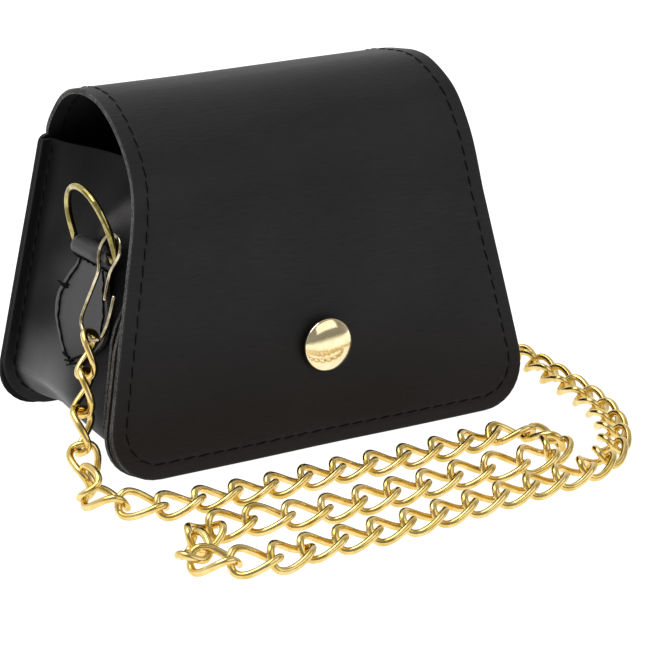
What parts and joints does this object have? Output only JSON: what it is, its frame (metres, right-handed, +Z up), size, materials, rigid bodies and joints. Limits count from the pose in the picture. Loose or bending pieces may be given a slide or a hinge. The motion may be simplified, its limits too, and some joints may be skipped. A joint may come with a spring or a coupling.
{
  "type": "crossbody bag",
  "caption": "Small wedge-shaped crossbody bag with a front flap closed by a ring snap and a curb chain hung from a D-ring on each side.",
  "frame": {"origin": "on the surface it stands on, under the middle of the whole object with its chain", "axes": "+Z up, +X to the right seen from the front, front flap towards -Y"},
  "size_m": [0.1858, 0.159, 0.1079],
  "materials": {
    "black_leather": "satin with a faint grain",
    "yellow_gilt": "polished yellow gilt plating",
    "pale_gilt": "polished pale gilt plating",
    "steel": "plated steel inside the snap"
  },
  "bodies": {
    "root": {"back_and_flap": "black_leather", "front_panel": "black_leather", "gusset": "black_leather", "tab_left": "black_leather", "tab_right": "black_leather", "d_ring_left": "yellow_gilt", "d_ring_right": "yellow_gilt", "clip_left": "pale_gilt", "clip_right": "pale_gilt", "snap_cap": "pale_gilt", "snap_socket": "steel", "snap_stud": "steel", "snap_eyelet": "steel", "chain_hanging_left": "yellow_gilt", "chain_first_turn": "yellow_gilt", "chain_run_1_left": "yellow_gilt", "chain_run_1_right": "yellow_gilt", "chain_right_turn": "yellow_gilt", "chain_run_2_right": "yellow_gilt", "chain_run_2_left": "yellow_gilt", "chain_left_turn": "yellow_gilt", "chain_run_3_left": "yellow_gilt", "chain_run_3_right": "yellow_gilt", "chain_bend_front": "yellow_gilt", "chain_bend_side": "yellow_gilt", "chain_bend_back": "yellow_gilt", "chain_hanging_right": "yellow_gilt"}
  },
  "joints": []
}
